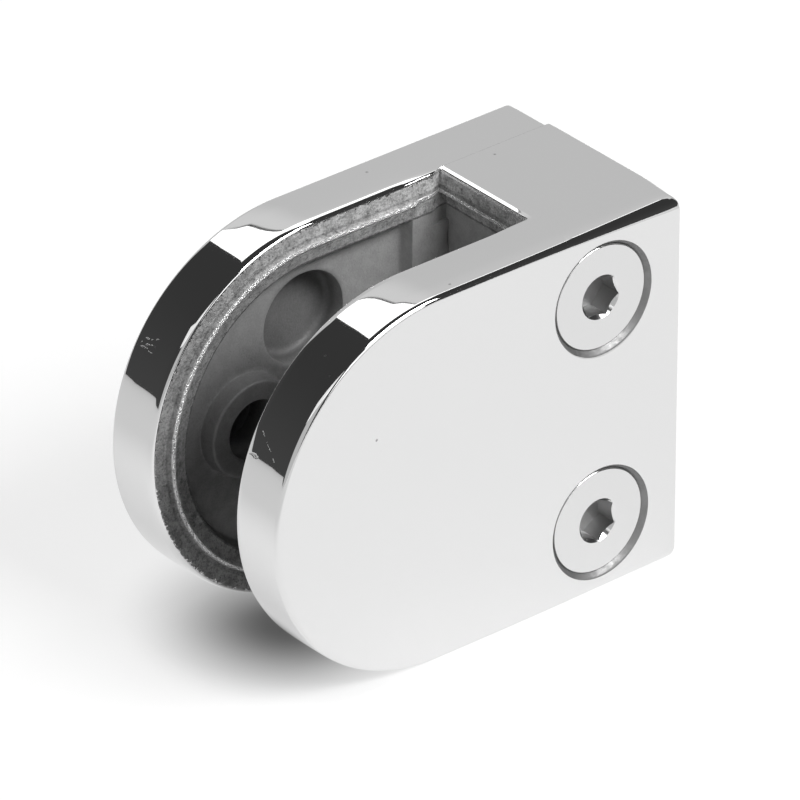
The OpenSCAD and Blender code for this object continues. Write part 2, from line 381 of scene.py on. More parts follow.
# %% Group: buffed wobble
def build_wobble():
    """Slow waves that a buffing wheel leaves, and hair lines that catch the light."""
    tree, given, out = new_group(
        "buffed_wobble", {"Vector": None, "Wave": 4.0, "Hairs": 0.15}, ("Height", "Hairs"))
    per_metre = over(tree, 1 / MM, given["Wave"])
    waves = noise_at(tree, given["Vector"], per_metre, 1.0)
    stretched = node(tree, "ShaderNodeMapping", {
        "Vector": given["Vector"], "Rotation": (0.3, 0.5, 0.9), "Scale": (90, 2600, 2600)})
    lines = ramp(tree, noise_at(tree, stretched.outputs[0], 1.0), 0.62, 0.78)
    hairs = times(tree, lines, given["Hairs"])
    feed(tree, out["Height"], plus(tree, waves, times(tree, hairs, 0.02)))
    feed(tree, out["Hairs"], hairs)
    return tree


wobble_group = build_wobble()

# %% [markdown]
# ## Marks of handling
# A mirror without a mark looks computed. The two bands of this clamp have a few fine
# scratches near the tip. An image could hold them, but a scratch is only a line that
# wanders a little and breaks up, so a group measures how far each place is from one.

# %% Group: scratch
def build_scratch():
    """Mask of a scratch between two places, wavy and broken; 1 is on it. Its width is in mm."""
    tree, given, out = new_group(
        "scratch", {"Vector": None, "Start": None, "End": None, "Width": 0.06}, ("Mask",))
    wander = noise_at(tree, given["Vector"], 1400.0, output="Color")
    centred = vector_calc(tree, "SUBTRACT", wander, (0.5, 0.5, 0.5))
    place = vector_calc(tree, "ADD", given["Vector"],
                        vector_calc(tree, "SCALE", centred, 0.7 * MM))
    along = vector_calc(tree, "SUBTRACT", given["End"], given["Start"])
    reach = vector_calc(tree, "SUBTRACT", place, given["Start"])
    share = over(tree, vector_calc(tree, "DOT_PRODUCT", reach, along),
                 vector_calc(tree, "DOT_PRODUCT", along, along))
    foot = vector_calc(tree, "SCALE", along, ramp(tree, share, 0.0, 1.0, smooth=False))
    off = over(tree, vector_calc(tree, "DISTANCE", reach, foot), MM)
    half = times(tree, given["Width"], 0.5)
    on_line = minus(tree, 1.0, over(tree, off, half))
    broken = ramp(tree, noise_at(tree, given["Vector"], 2600.0), 0.36, 0.5)
    feed(tree, out["Mask"], times(tree, ramp(tree, on_line, 0.0, 0.5), broken))
    return tree


scratch_group = build_scratch()


# %% Where the marks are
def on_round_end(degrees, across):
    """Place on the round end: degrees above the tip, and millimetres from the near face."""
    a = math.radians(degrees)
    return Vector((end_centre - half_height * math.cos(a), near_face + across * MM,
                   half_height * math.sin(a)))


def on_top(forward, across):
    """Place on the flat top: millimetres from the mounting face, and from the near face."""
    return Vector((mounting_face - forward * MM, near_face + across * MM, half_height))


# Each scratch is (degrees, across) at its start and at its end, and its width.
SCRATCHES = [
    ((28.4, 5.0), (25.2, 3.3), 0.13),
    ((25.2, 3.3), (22.3, 2.0), 0.1),
    ((21.4, 4.7), (21.7, 5.6), 0.4),
    ((41.2, 6.1), (38.7, 6.0), 0.2),
    ((31.1, 24.2), (34.0, 23.6), 0.13),
    ((34.0, 23.6), (35.0, 22.1), 0.12),
    ((31.1, 24.2), (31.1, 22.2), 0.16),
    ((32.3, 23.1), (33.4, 21.9), 0.3),
]
FLECKS = [
    on_round_end(54.8, 3.1), on_round_end(50.7, 1.1),
    on_top(27.9, 1.2), on_top(8.3, 17.8), on_top(20.0, 22.9),
    Vector((mounting_face - 37.8 * MM, near_face, 7.2 * MM))]
print(len(SCRATCHES), "scratches,", len(FLECKS), "flecks")


# %% Helpers for materials
def new_metal(name, grey, roughness):
    """Metal of one grey; returns the material, its tree and its shader's inputs."""
    material = bpy.data.materials.new(name)
    material.use_nodes = True
    tree = material.node_tree
    shader = tree.nodes["Principled BSDF"].inputs
    shader["Base Color"].default_value = (grey, grey, grey, 1)
    shader["Metallic"].default_value = 1
    shader["Roughness"].default_value = roughness
    print("finish", name, "starts at grey", grey, "and roughness", roughness)
    return material, tree, shader


def own_place(tree):
    """Place on the piece itself, in metres, so that the finish moves with it."""
    return node(tree, "ShaderNodeTexCoord").outputs["Object"]


def place_group(tree, group, vector, **values):
    """Puts a node group in a material, and returns its outputs."""
    inputs = {"Vector": vector} | {key.replace("_", " "): value for key, value in values.items()}
    return node(tree, "ShaderNodeGroup", inputs, node_tree=group).outputs


def grey_colour(tree, value):
    """Colour with one value in its three channels."""
    return node(tree, "ShaderNodeCombineColor", dict.fromkeys(range(3), value)).outputs[0]


def bump(tree, height, depth):
    """Normal that stands for a height, which is depth metres deep."""
    return node(tree, "ShaderNodeBump", {
        "Height": height, "Distance": depth, "Strength": 1.0}).outputs[0]


# %% Mirror polish
POLISH_GREY, POLISH_ROUGHNESS = 0.8, 0.035


def build_polish():
    """Bright casting, buffed until it mirrors the room."""
    material, tree, shader = new_metal("mirror_polish", POLISH_GREY, POLISH_ROUGHNESS)
    place = own_place(tree)
    wobble = place_group(tree, wobble_group, place, Wave=7.0, Hairs=0.2)
    marks = 0.0
    for start, end, width in SCRATCHES:
        scratch = place_group(tree, scratch_group, place, Start=on_round_end(*start),
                              End=on_round_end(*end), Width=width)
        marks = most(tree, scratch["Mask"], marks)
    flecks = 0.0
    for fleck in FLECKS:
        away = vector_calc(tree, "DISTANCE", place, fleck)
        flecks = most(tree, ramp(tree, away, 0.2 * MM, 0.08 * MM), flecks)
    height = minus(tree, wobble["Height"], times(tree, marks, 3.0))
    feed(tree, shader["Normal"], bump(tree, height, 0.006 * MM))
    worn = most(tree, wobble["Hairs"], marks, flecks)
    feed(tree, shader["Roughness"], ramp(tree, worn, 0, 1, POLISH_ROUGHNESS, 0.35))
    feed(tree, shader["Base Color"], grey_colour(tree, ramp(tree, flecks, 0, 1, POLISH_GREY, 0.4)))
    return material


polish = build_polish()

# %% [markdown]
# ## Raw casting
# The skin of the mould is grey and grainy on the land and on the bead, and smoother in the pocket.
# The bead's crest and the outer edge have been rubbed bright, and the crest's white is partly a
# painted highlight. Painted shade darkens the bands beside the bead, the pocket, the deepest
# places, the middle round the boss and the end at the tip. Most of that follows the outline of the
# jaw, so the finish first asks how far in a place lies.

# %% Group: inset in a jaw
def build_jaw_inset():
    """Distance in millimetres from the outline of a jaw."""
    tree, given, out = new_group("jaw_inset", {"Vector": None}, ("Inset",))
    x, y, z = node(tree, "ShaderNodeSeparateXYZ", {0: given["Vector"]}).outputs
    past_centre = least(tree, minus(tree, x, end_centre), 0.0)
    squares = plus(tree, times(tree, past_centre, past_centre), times(tree, z, z))
    inset = minus(tree, half_height, calc("SQRT", tree, squares))
    feed(tree, out["Inset"], over(tree, inset, MM))
    return tree


inset_group = build_jaw_inset()

# %% Raw skin
CREST_INSET = 2.5
POCKET_EDGE = (4.5, 4.1)
BOSS_CENTRE = (-37.5, 0.0)


def build_raw():
    """Raw skin, with specks, painted shade beside the bead and in the hollows, and rubbed edges
    with a painted highlight on the crest.
    """
    material, tree, shader = new_metal("raw_casting", 0.6, 0.5)
    place = own_place(tree)
    grain = place_group(tree, grain_group, place, Grain_Size=0.2, Pits=0.7)
    inset = place_group(tree, inset_group, place)["Inset"]
    x, y, z = node(tree, "ShaderNodeSeparateXYZ", {0: place}).outputs

    def band(at, reach):
        """Mask of a line that runs round the jaw at one inset."""
        return ramp(tree, size_of(tree, minus(tree, inset, at)), reach, reach * 0.4)

    specks = ramp(tree, noise_at(tree, place, 1 / (0.42 * MM), 4.0, 0.75), 0.47, 0.68)
    grit = noise_at(tree, place, 1 / (0.19 * MM), 2.0, 0.8)
    outside_pocket = ramp(tree, inset, *POCKET_EDGE)
    # The crest is rubbed metal, and the white it gets in the colour below is partly a painted
    # highlight.
    crest_wear_and_highlight = times(tree, band(CREST_INSET, 0.3), ramp(tree, grit, 0.36, 0.46))
    ragged = plus(tree, inset, times(tree, specks, -0.35))
    at_edge = ramp(tree, ragged, 0.5, 0.36)
    rubbed_and_highlit = most(tree, crest_wear_and_highlight, at_edge)

    dark_specks = times(tree, specks, outside_pocket, 0.55)
    # Painted shade: dark bands at the bead's outer foot, down its inner slope and along the top of
    # the pocket's wall.
    painted_shade_bands = plus(tree, times(tree, band(2.02, 0.36), 0.34), times(tree, band(3.35, 1.1), 0.22),
                  times(tree, band(4.2, 0.16), 0.5))
    from_boss = vector_calc(tree, "DISTANCE", vector_calc(tree, "MULTIPLY", place, (1, 0, 1)),
                            (BOSS_CENTRE[0] * MM, 0, BOSS_CENTRE[1] * MM))
    depth = size_of(tree, y)
    # The pocket gets a darker grey than the land: painted shade in the recess.
    grey = mix(tree, outside_pocket, ramp(tree, grain["Mottle"], 0, 1, 0.3, 0.36),
               ramp(tree, grain["Mottle"], 0, 1, 0.33, 0.66))
    # Painted shade multiplied into the grey: darker towards the tip, darker more than 7.8 mm out
    # from the middle of the slot where the pits' floors and the boss's hole lie, and darker round
    # the boss in the middle of the slot. The dark specks are the skin's own.
    grey = times(tree, grey,
                 minus(tree, 1.0, dark_specks),
                 minus(tree, 1.0, painted_shade_bands),
                 ramp(tree, x, tip, tip + 28 * MM, 0.58, 1.05),
                 ramp(tree, depth, 7.8 * MM, 9.8 * MM, 1.0, 0.55),
                 ramp(tree, from_boss, 4 * MM, 11.5 * MM, 0.55, 1.0))
    # Rubbed places turn white: bare metal at the outer edge, and on the crest wear together with a
    # painted highlight.
    feed(tree, shader["Base Color"], grey_colour(tree, mix(tree, rubbed_and_highlit, grey, 1.0)))

    rough = ramp(tree, grain["Mottle"], 0, 1, 0.62, 0.46)
    feed(tree, shader["Roughness"], mix(tree, rubbed_and_highlit, rough, 0.2))
    metal = most(tree, at_edge, times(tree, crest_wear_and_highlight, 0.5))
    feed(tree, shader["Metallic"], mix(tree, metal, 0.1, 1.0))
    height = plus(tree, times(tree, grain["Height"], ramp(tree, outside_pocket, 0, 1, 0.35, 1.0)),
                  times(tree, crest_wear_and_highlight, grit, 3.0))
    feed(tree, shader["Normal"], bump(tree, height, 0.06 * MM))
    return material


raw = build_raw()

# %% [markdown]
# ## Cut metal
# Where a tool has been, the metal is neither raw nor polished: drilled and milled in
# the castings, broached in the screws' sockets, ground on the seat and the mounting
# face. One recipe makes all three. The lay stretches the grain the way the tool went.

# %% Cut, broached and ground
def build_cut(name, grey, rough, lay):
    """Metal that a tool has cut, with roughness between two values."""
    material, tree, shader = new_metal(name, grey, rough[0])
    stretched = vector_calc(tree, "MULTIPLY", own_place(tree), lay)
    grain = place_group(tree, grain_group, stretched, Grain_Size=0.12, Pits=0.0)
    feed(tree, shader["Normal"], bump(tree, grain["Height"], 0.012 * MM))
    feed(tree, shader["Roughness"], ramp(tree, grain["Mottle"], 0, 1, *rough))
    return material


cut = build_cut("cut_metal", 0.25, (0.42, 0.66), (1, 1, 1))
broached = build_cut("broached_steel", 0.42, (0.3, 0.5), (1, 0.1, 1))
ground = build_cut("ground_metal", 0.55, (0.3, 0.44), (1, 1, 0.03))

# %% [markdown]
# ## The castings
# Each jaw is a slab with a round tip. The quickest way to model one would be to extrude
# a D and bevel it, but a mirror shows every shortcut: a buffed band is never quite flat,
# and its edges are rolled more where the wheel reaches them better. So each shell is
# built from columns of vertices along the outline, a little lower towards the edges of
# the band, and a weighted bevel rolls the edges by a radius that can change on its way.

# %% Stations along a jaw
ARC_STEPS = 96
TINY = 1e-7


def jaw_stations(back, first_stop, extra=()):
    """Places along the outline, from the bottom back corner round the tip to the top one.

    Each is a centre x and an outward direction (x, z), so that a place a little inside
    the outline is found from the same station."""
    stops = [back, first_stop]
    while stops[-1] - MM > end_centre + 0.5 * MM:
        stops.append(stops[-1] - MM)
    stops = sorted([*stops, end_centre, *extra], reverse=True)
    bottom = [(x, 0.0, -1.0) for x in stops]
    end = [(end_centre, -math.sin(a), -math.cos(a))
           for a in (math.pi * i / ARC_STEPS for i in range(1, ARC_STEPS))]
    top = [(x, 0.0, 1.0) for x in reversed(stops)]
    return bottom + end + top


def place_at(station, inset, y):
    """Point at a station, inset from the outline."""
    centre_x, out_x, out_z = station
    reach = half_height - inset
    return Vector((centre_x + reach * out_x, y, reach * out_z))


print("stations round a jaw:", len(jaw_stations(mounting_face, mounting_face - 2 * MM)))

# %% How buffing lowers the band
bridge_edge = mounting_face - 14 * MM
CROWN = 0.06 * MM
DROOP_START, DROOP_EASE, DROOP_SLOPE = 5.48 * MM, 0.25 * MM, 0.18
TIP_LEAD, TIP_STEEPER = 0.25 * MM, 1.4
BAND_LEVELS = [t * MM for t in (
    0, 1.6, 2.2, 2.9, 3.6, 4.3, 4.9, 5.25, 5.4, 5.5, 5.6, 5.75)] + [jaw]


def smooth(value, low, high):
    """Smooth step from 0 at low to 1 at high."""
    t = min(1.0, max(0.0, (value - low) / (high - low)))
    return t * t * (3 - 2 * t)


def eased(past, ease):
    """Distance past the start of a slope, which comes in over a short ease."""
    past = max(0.0, past)
    return past ** 2 / ease / 2 if past < ease else past - ease / 2


def crown(depth, station):
    """How far buffing has lowered the band at a depth below the outer face."""
    across = depth / jaw * 2 - 1
    on_bridge = smooth(station[0], bridge_edge - 5 * MM, bridge_edge - MM)
    share = 1 - on_bridge if across > 0 else 1
    at_tip = 1 - smooth(station[0], end_centre - 14 * MM, end_centre - 8 * MM)
    slope = DROOP_SLOPE * (1 + TIP_STEEPER * at_tip)
    droop = slope * eased(depth - DROOP_START + TIP_LEAD * at_tip, DROOP_EASE)
    return (CROWN * abs(across) ** 3 + droop) * share


print(f"crown at the slot {crown(jaw, (end_centre,)) / MM:.3f} mm")

# %% Radii of the rolled edges
OUTER_ROLL = 0.55 * MM
CORNER_ROLL = 1.3 * MM
SLOT_ROLL = 0.28 * MM
MOUNT_ROLL = 0.4 * MM
LIP_ROLL = 0.12 * MM
PLATE_CORNER = 0.5 * MM
ROLL_SEGMENTS = 8
WIDENS_FROM = -22 * MM


def roll_radius(station_x):
    """Radius of the outer edge: tight round the tip, wider towards the back corner."""
    share = min(1.0, max(0.0, (station_x - WIDENS_FROM) / (mounting_face - WIDENS_FROM)))
    return OUTER_ROLL + (CORNER_ROLL - OUTER_ROLL) * share ** 1.6


def edge_tests(edge):
    """Middle of an edge, and a test of whether the edge lies in a plane across an axis."""
    one, other = (v.co for v in edge.verts)

    def lies_at(axis, value):
        return abs(one[axis] - value) < 1e-5 and abs(other[axis] - value) < 1e-5

    return (one + other) / 2, lies_at


def turns_a_corner(edge):
    """Whether an edge parts the flat back from another face."""
    return len({round(face.normal.x) for face in edge.link_faces}) > 1


def roll_edges(bm, radius_of):
    """Gives each edge its bevel weight; radius_of says how wide an edge is rolled."""
    weights = bm.edges.layers.float.new("bevel_weight_edge")
    for edge in bm.edges:
        edge[weights] = radius_of(edge) / CORNER_ROLL


def add_roll(piece):
    """Bevel that rolls the weighted edges."""
    bevel = piece.modifiers.new("rolled edges", "BEVEL")
    bevel.limit_method = "WEIGHT"
    bevel.width = CORNER_ROLL
    bevel.segments = ROLL_SEGMENTS
    bevel.use_clamp_overlap = False


# %% Shared shell tools
def piece_from(bm, name, materials):
    """New object from a bmesh, in the frame."""
    bmesh.ops.recalc_face_normals(bm, faces=bm.faces)
    mesh = bpy.data.meshes.new(name)
    bm.to_mesh(mesh)
    bm.free()
    for material in materials:
        mesh.materials.append(material)
    piece = bpy.data.objects.new(name, mesh)
    bpy.context.scene.collection.objects.link(piece)
    return piece


def join_columns(bm, columns):
    """Faces between neighbouring columns, as far up as both reach."""
    for one, other in zip(columns, columns[1:]):
        for k in range(min(len(one), len(other)) - 1):
            bm.faces.new([one[k], other[k], other[k + 1], one[k + 1]])


def cut_with(piece, cutters):
    """Takes the cutters away from a piece, after whatever else its modifiers do."""
    for cutter in cutters:
        cutting = piece.modifiers.new("cut by " + cutter.name, "BOOLEAN")
        cutting.object = cutter
        cutting.operation = "DIFFERENCE"
        cutting.solver = "EXACT"
        cutting.material_mode = "TRANSFER"
    bpy.context.view_layer.update()
    seen = piece.evaluated_get(bpy.context.evaluated_depsgraph_get())
    made = bpy.data.meshes.new_from_object(seen)
    piece.modifiers.clear()
    piece.data = made
    for cutter in cutters:
        bpy.data.objects.remove(cutter)
    print(piece.name, "cut by", len(cutters), "tools:", len(made.polygons), "faces")


def soft_shading(piece, sharp_angle=38):
    """Smooth shading in which large flat faces keep their own direction."""
    for polygon in piece.data.polygons:
        polygon.use_smooth = True
    piece.data.set_sharp_from_angle(angle=math.radians(sharp_angle))
    weighted = piece.modifiers.new("flat faces rule", "WEIGHTED_NORMAL")
    weighted.keep_sharp = True
    weighted.weight = 50


# %% [markdown]
# ## Cutting tools
# The drills and mills are solids too, and a Boolean takes them out of the castings.
# What they leave carries their own material, so a hole is cut metal all through.

# %% Lathe and prism
def lathe(name, axis_point, profile, material, segments=96, rim=None):
    """Solid turned round an axis along +Y; profile is a list of (radius, distance along it).

    A radius is a number, or a function of the angle for what isn't quite round, and rim
    is (another material, how many rows it covers)."""
    bm = bmesh.new()
    rings = []
    for radius, along in profile:
        centre = axis_point + Vector((0, along, 0))
        if radius == 0:
            rings.append([bm.verts.new(centre)] * segments)
            continue
        ring = []
        for i in range(segments):
            a = 2 * math.pi * i / segments
            wide = radius(a) if callable(radius) else radius
            ring.append(bm.verts.new(centre + Vector((math.sin(a) * wide, 0, math.cos(a) * wide))))
        rings.append(ring)
    for row, (low, high) in enumerate(zip(rings, rings[1:])):
        for i in range(segments):
            corners = [low[i - 1], low[i], high[i], high[i - 1]]
            side = bm.faces.new(list(dict.fromkeys(corners)))
            side.material_index = int(rim is not None and row < rim[1])
    for ring in (rings[0], rings[-1]):
        if ring[0] is not ring[1]:
            bm.faces.new(ring)
    return piece_from(bm, name, [material] + ([rim[0]] if rim else []))


def prism(name, outline, push, material):
    """Solid that pushes a flat outline, a list of points, along a vector."""
    bm = bmesh.new()
    start = [bm.verts.new(point) for point in outline]
    end = [bm.verts.new(point + push) for point in outline]
    bm.faces.new(start)
    bm.faces.new(end)
    for i in range(len(outline)):
        bm.faces.new([start[i - 1], start[i], end[i], end[i - 1]])
    return piece_from(bm, name, [material])


# %% [markdown]
# ## Shell of the body
# The body is one casting: the near jaw, and a block at its back that the cover plate
# seats on. The columns of the jaw go on up the block, so that the top and the bottom
# are one polished surface without a joint. The end of the slot is left as cast: two
# lips, and a wall between them that is sunk a little. At the lips the polish runs out
# in a short slope, the bright line along the end of the slot.

# %% Lips at the end of the slot
sunk_wall = bridge_edge + 0.8 * MM
lip_inside = half_height - 2.7 * MM
LIP_REACH, LIP_EASE, LIP_SLOPE = 0.5 * MM, 0.08 * MM, 0.3
LIP_STOPS = [bridge_edge + LIP_REACH - t * MM for t in (0, 0.04, 0.08, 0.2)]
BLOCK_LEVELS = [t * MM for t in (7, 9, 12, 15, 18.2)] + [seat_face - near_face]


def lip_droop(x):
    """How far buffing has lowered the top and the bottom of the block towards the slot."""
    return LIP_SLOPE * eased(LIP_REACH - (x - bridge_edge), LIP_EASE)


print(f"lips slope down by {lip_droop(bridge_edge) / MM:.3f} mm")


# %% Body shell
def body_column(bm, station):
    """Vertices at a station, up the jaw from the near face, and on up the block."""
    column = [place_at(station, crown(t, station), near_face + t) for t in BAND_LEVELS]
    if station[0] >= bridge_edge - TINY:
        drop = lip_droop(station[0])
        column += [place_at(station, drop, near_face + t) for t in BLOCK_LEVELS]
    return [bm.verts.new(point) for point in column]


def body_shell():
    """Closed shell of the jaw and the bridge block, before its edges are rolled."""
    bm = bmesh.new()
    stations = jaw_stations(mounting_face, mounting_face - 2 * MM, LIP_STOPS)
    columns = [body_column(bm, station) for station in stations]
    join_columns(bm, columns)

    slot_level = len(BAND_LEVELS) - 1
    at_edge = [i for i, s in enumerate(stations) if abs(s[0] - bridge_edge) < TINY]
    first, last = at_edge[0], at_edge[-1]
    lip = {(side, x, y): bm.verts.new((x, y, side * lip_inside)) for side in (-1, 1)
           for x in (bridge_edge, sunk_wall) for y in (body_slot, seat_face)}
    bm.faces.new([column[0] for column in columns])
    bm.faces.new(columns[0] + columns[-1][::-1])
    notch = [(-1, bridge_edge), (-1, sunk_wall), (1, sunk_wall), (1, bridge_edge)]
    bm.faces.new([c[slot_level] for c in columns[first:last + 1]]
                 + [lip[s, x, body_slot] for s, x in reversed(notch)])
    bm.faces.new([c[-1] for c in columns[:first + 1]] + [lip[s, x, seat_face] for s, x in notch]
                 + [c[-1] for c in columns[last:]])
    for side, column in ((-1, columns[first]), (1, columns[last])):
        bm.faces.new(column[slot_level:]
                     + [lip[side, bridge_edge, seat_face], lip[side, bridge_edge, body_slot]])
    for (side, x), (next_side, next_x) in zip(notch, notch[1:]):
        bm.faces.new([lip[side, x, body_slot], lip[side, x, seat_face],
                      lip[next_side, next_x, seat_face], lip[next_side, next_x, body_slot]])
    bmesh.ops.recalc_face_normals(bm, faces=bm.faces)
    return bm


# %% Finish and roll of the body
RAW, GROUND = 1, 2


def body_finish(face):
    """Material number of a face: raw in the end of the slot, ground on the flat seats."""
    centre = face.calc_center_median()
    in_slot_end = face.normal.x < -0.9 and centre.x > bridge_edge - TINY
    on_notch_side = abs(face.normal.z) > 0.9 and abs(centre.z) < lip_inside + TINY
    on_seat = face.normal.y > 0.9 and centre.y > seat_face - TINY
    if in_slot_end or on_notch_side:
        return RAW
    return GROUND if face.normal.x > 0.9 or on_seat else 0


def body_roll(edge):
    """Radius that an edge of the body shell is rolled to."""
    mid, lies_at = edge_tests(edge)
    on_outline = abs(mid.z) > lip_inside + MM or mid.x < end_centre
    at_lip = abs(mid.z) > half_height - 0.3 * MM and mid.y > body_slot
    if lies_at(0, mounting_face):
        if not turns_a_corner(edge):
            return 0
        if mid.y <= near_face + TINY:
            return MOUNT_ROLL
        wider = 1 - smooth(mid.y, near_face, near_face + 5 * MM)
        return MOUNT_ROLL + (CORNER_ROLL - MOUNT_ROLL) * wider
    if lies_at(1, near_face):
        return roll_radius(mid.x)
    if lies_at(1, body_slot) and on_outline and mid.x < bridge_edge:
        return SLOT_ROLL
    if lies_at(0, bridge_edge) and at_lip:
        return LIP_ROLL
    return 0


# %% [markdown]
# ## Holes in the body
# Two countersinks take the screws. Their rims were buffed over with the face, and the
# wheel dragged them wider low on the right, so the tool's rim carries the polish and
# isn't quite round. The pocket behind the slot hides the fixing bolt's head.

# %% Countersink
SINK_RADIUS = 6.2 * MM
CLEARANCE_RADIUS = 3.15 * MM
RIM_ROLL = 0.35 * MM
RIM_START, RIM_STEEPEST, RIM_TURNS = math.radians(7), math.radians(55), 8
RIM_LEAD = 0.5 * MM
RIM_WEAR, WEAR_ANGLE, WEAR_ROWS = 0.4 * MM, math.radians(150), 9
POLISHED_ROWS = 6


def worn(radius, row):
    """Radius of a row of the rim for each angle, wider where the wheel dragged it."""
    share = max(0.0, 1 - row / WEAR_ROWS)
    return lambda a: radius + RIM_WEAR * share * max(0.0, math.cos(a - WEAR_ANGLE)) ** 1.5


def sink_profile():
    """Countersink whose rim is rolled over by buffing, then the clearance hole."""
    rim = [(SINK_RADIUS + 0.04 * MM - RIM_ROLL * math.sin(a), RIM_ROLL * (1 - math.cos(a)))
           for a in (RIM_START + (RIM_STEEPEST - RIM_START) * i / RIM_TURNS
                     for i in range(RIM_TURNS + 1))]
    lead = (rim[0][0] + RIM_LEAD, rim[0][1] - RIM_LEAD * math.tan(RIM_START))
    return [*((worn(radius, row), along) for row, (radius, along) in enumerate([lead, *rim])),
            (SINK_RADIUS - 0.6 * MM, 0.6 * MM),
            (CLEARANCE_RADIUS, SINK_RADIUS - CLEARANCE_RADIUS),
            (CLEARANCE_RADIUS, seat_face - near_face + MM)]


def sink_tool(side):
    """Tool for the upper or the lower countersink."""
    start = Vector((screw_x, near_face, side * screw_z))
    return lathe(f"sink_tool_{side}", start, sink_profile(), cut, rim=(polish, POLISHED_ROWS))


# %% Fixing bolt's pocket and hole
BOLT_WALL = 6 * MM
BOLT_HOLE_RADIUS = 4.25 * MM
POCKET_HALF = 7.2 * MM
POCKET_UNDERCUT = 0.5 * MM
POCKET_CORNER = 2 * MM
CORNER_STEPS = 10


def bolt_tools():
    """The pocket, open to the cover plate, and the hole through the mounting wall."""
    base = body_slot - POCKET_UNDERCUT + POCKET_CORNER
    side = POCKET_HALF - POCKET_CORNER
    low = [(base - POCKET_CORNER * math.sin(a), -side - POCKET_CORNER * math.cos(a))
           for a in (math.pi / 2 * i / CORNER_STEPS for i in range(CORNER_STEPS + 1))]
    top = seat_face + MM
    outline = [(top, -POCKET_HALF), *low, *((y, -z) for y, z in reversed(low)), (top, POCKET_HALF)]
    pocket = prism("pocket_tool", [Vector((bridge_edge, y, z)) for y, z in outline],
                   Vector((mounting_face - BOLT_WALL - bridge_edge, 0, 0)), raw)
    ring = [Vector((mounting_face - BOLT_WALL - MM, math.cos(a) * BOLT_HOLE_RADIUS,
                    math.sin(a) * BOLT_HOLE_RADIUS))
            for a in (2 * math.pi * i / 96 for i in range(96))]
    return [pocket, prism("bolt_drill", ring, Vector((BOLT_WALL + 2 * MM, 0, 0)), cut)]


# %% Body casting
shell = body_shell()
for face in shell.faces:
    face.material_index = body_finish(face)
roll_edges(shell, body_roll)
body = piece_from(shell, "body_casting", [polish, raw, ground])
add_roll(body)
cut_with(body, [sink_tool(-1), sink_tool(1), *bolt_tools()])
# Where the slot's edge meets the lip, the bevel's mitre stands a hair past the outline.
for vertex in body.data.vertices:
    vertex.co.z = min(half_height, max(-half_height, vertex.co.z))

# %% [markdown]
# ## Shell of the cover plate
# The plate is the same slab as the near jaw, turned round. Behind the glass it has a
# shallow rebate that seats on the bridge, which runs out in a slope above and below a
# tongue. Two blind holes take the screws. The seat stays a hair off the bridge, and
# that hair is the seam that shows on the top.

# %% Plate shell
def plate_shell():
    """Closed slab of the cover plate, before its edges are rolled."""
    bm = bmesh.new()
    columns = [
        [bm.verts.new(place_at(station, crown(t, station), far_face - t)) for t in BAND_LEVELS]
        for station in jaw_stations(plate_back, plate_back - 1.5 * MM)]
    join_columns(bm, columns)
    bm.faces.new([column[0] for column in columns])
    bm.faces.new([column[-1] for column in columns])
    bm.faces.new(columns[0] + columns[-1][::-1])
    bmesh.ops.recalc_face_normals(bm, faces=bm.faces)
    return bm


def plate_roll(edge):
    """Radius that an edge of the plate is rolled to."""
    mid, lies_at = edge_tests(edge)
    if lies_at(0, plate_back):
        return PLATE_CORNER if turns_a_corner(edge) and not lies_at(1, plate_slot) else 0
    if lies_at(1, far_face):
        return OUTER_ROLL
    return SLOT_ROLL if lies_at(1, plate_slot) else 0


# %% Rebate and tapped holes
seat_gap = 0.012 * MM
plate_seat = seat_face + seat_gap
TONGUE_HALF = 14.2 * MM
REBATE_SLOPE = 1.3 * MM
TAPPED_RADIUS = 3.0 * MM
MOUTH_CHAMFER = 0.3 * MM
HOLE_END = far_face - 1.2 * MM


def tap_tool(side):
    """Tool for the upper or the lower tapped hole, with its chamfered mouth."""
    mouth = Vector((screw_x, plate_seat, side * screw_z))
    profile = [(TAPPED_RADIUS + MOUTH_CHAMFER + MM, -MM), (TAPPED_RADIUS, MOUTH_CHAMFER),
               (TAPPED_RADIUS, HOLE_END - plate_seat)]
    return lathe(f"tap_tool_{side}", mouth, profile, cut)


def plate_cutters():
    """Solids that the tools take out of the plate casting."""
    below = plate_slot - MM
    behind = mounting_face + MM
    tongue_end = sunk_wall - seat_gap
    top = half_height + MM
    flare = bridge_edge - REBATE_SLOPE * (1 + (plate_slot - below) / (plate_seat - plate_slot))
    middle_cut = [(tongue_end, below), (behind, below), (behind, plate_seat),
                  (tongue_end, plate_seat)]
    sloped_cut = [(flare, below), (behind, below), (behind, plate_seat),
                  (bridge_edge, plate_seat), (bridge_edge - REBATE_SLOPE, plate_slot)]
    cutters = [prism("tongue_tool", [Vector((x, y, -top)) for x, y in middle_cut],
                     Vector((0, 0, top * 2)), cut)]
    for side in (-1, 1):
        outline = [Vector((x, y, side * TONGUE_HALF)) for x, y in sloped_cut]
        push = Vector((0, 0, side * (top - TONGUE_HALF)))
        cutters += [prism(f"slope_tool_{side}", outline, push, raw), tap_tool(side)]
    return cutters


# %% Plate casting
shell = plate_shell()
roll_edges(shell, plate_roll)
plate = piece_from(shell, "plate_casting", [polish, raw, ground])
add_roll(plate)
cut_with(plate, plate_cutters())

# %% [markdown]
# ## Inside of the slot
# The mould made the inside of each jaw: a flat land, a bead that grips the rubber pad,
# a pocket for the pad, two round pits that save metal, and a boss with a hole for the
# safety pin. Cutting these one by one would leave knife edges. Instead one height
# function says how high the skin lies at each place, and a Delaunay mesh, with points
# set close where the skin turns, carries it. That gives every edge the soft foot and
# shoulder that molten metal leaves. This step counts in millimetres.

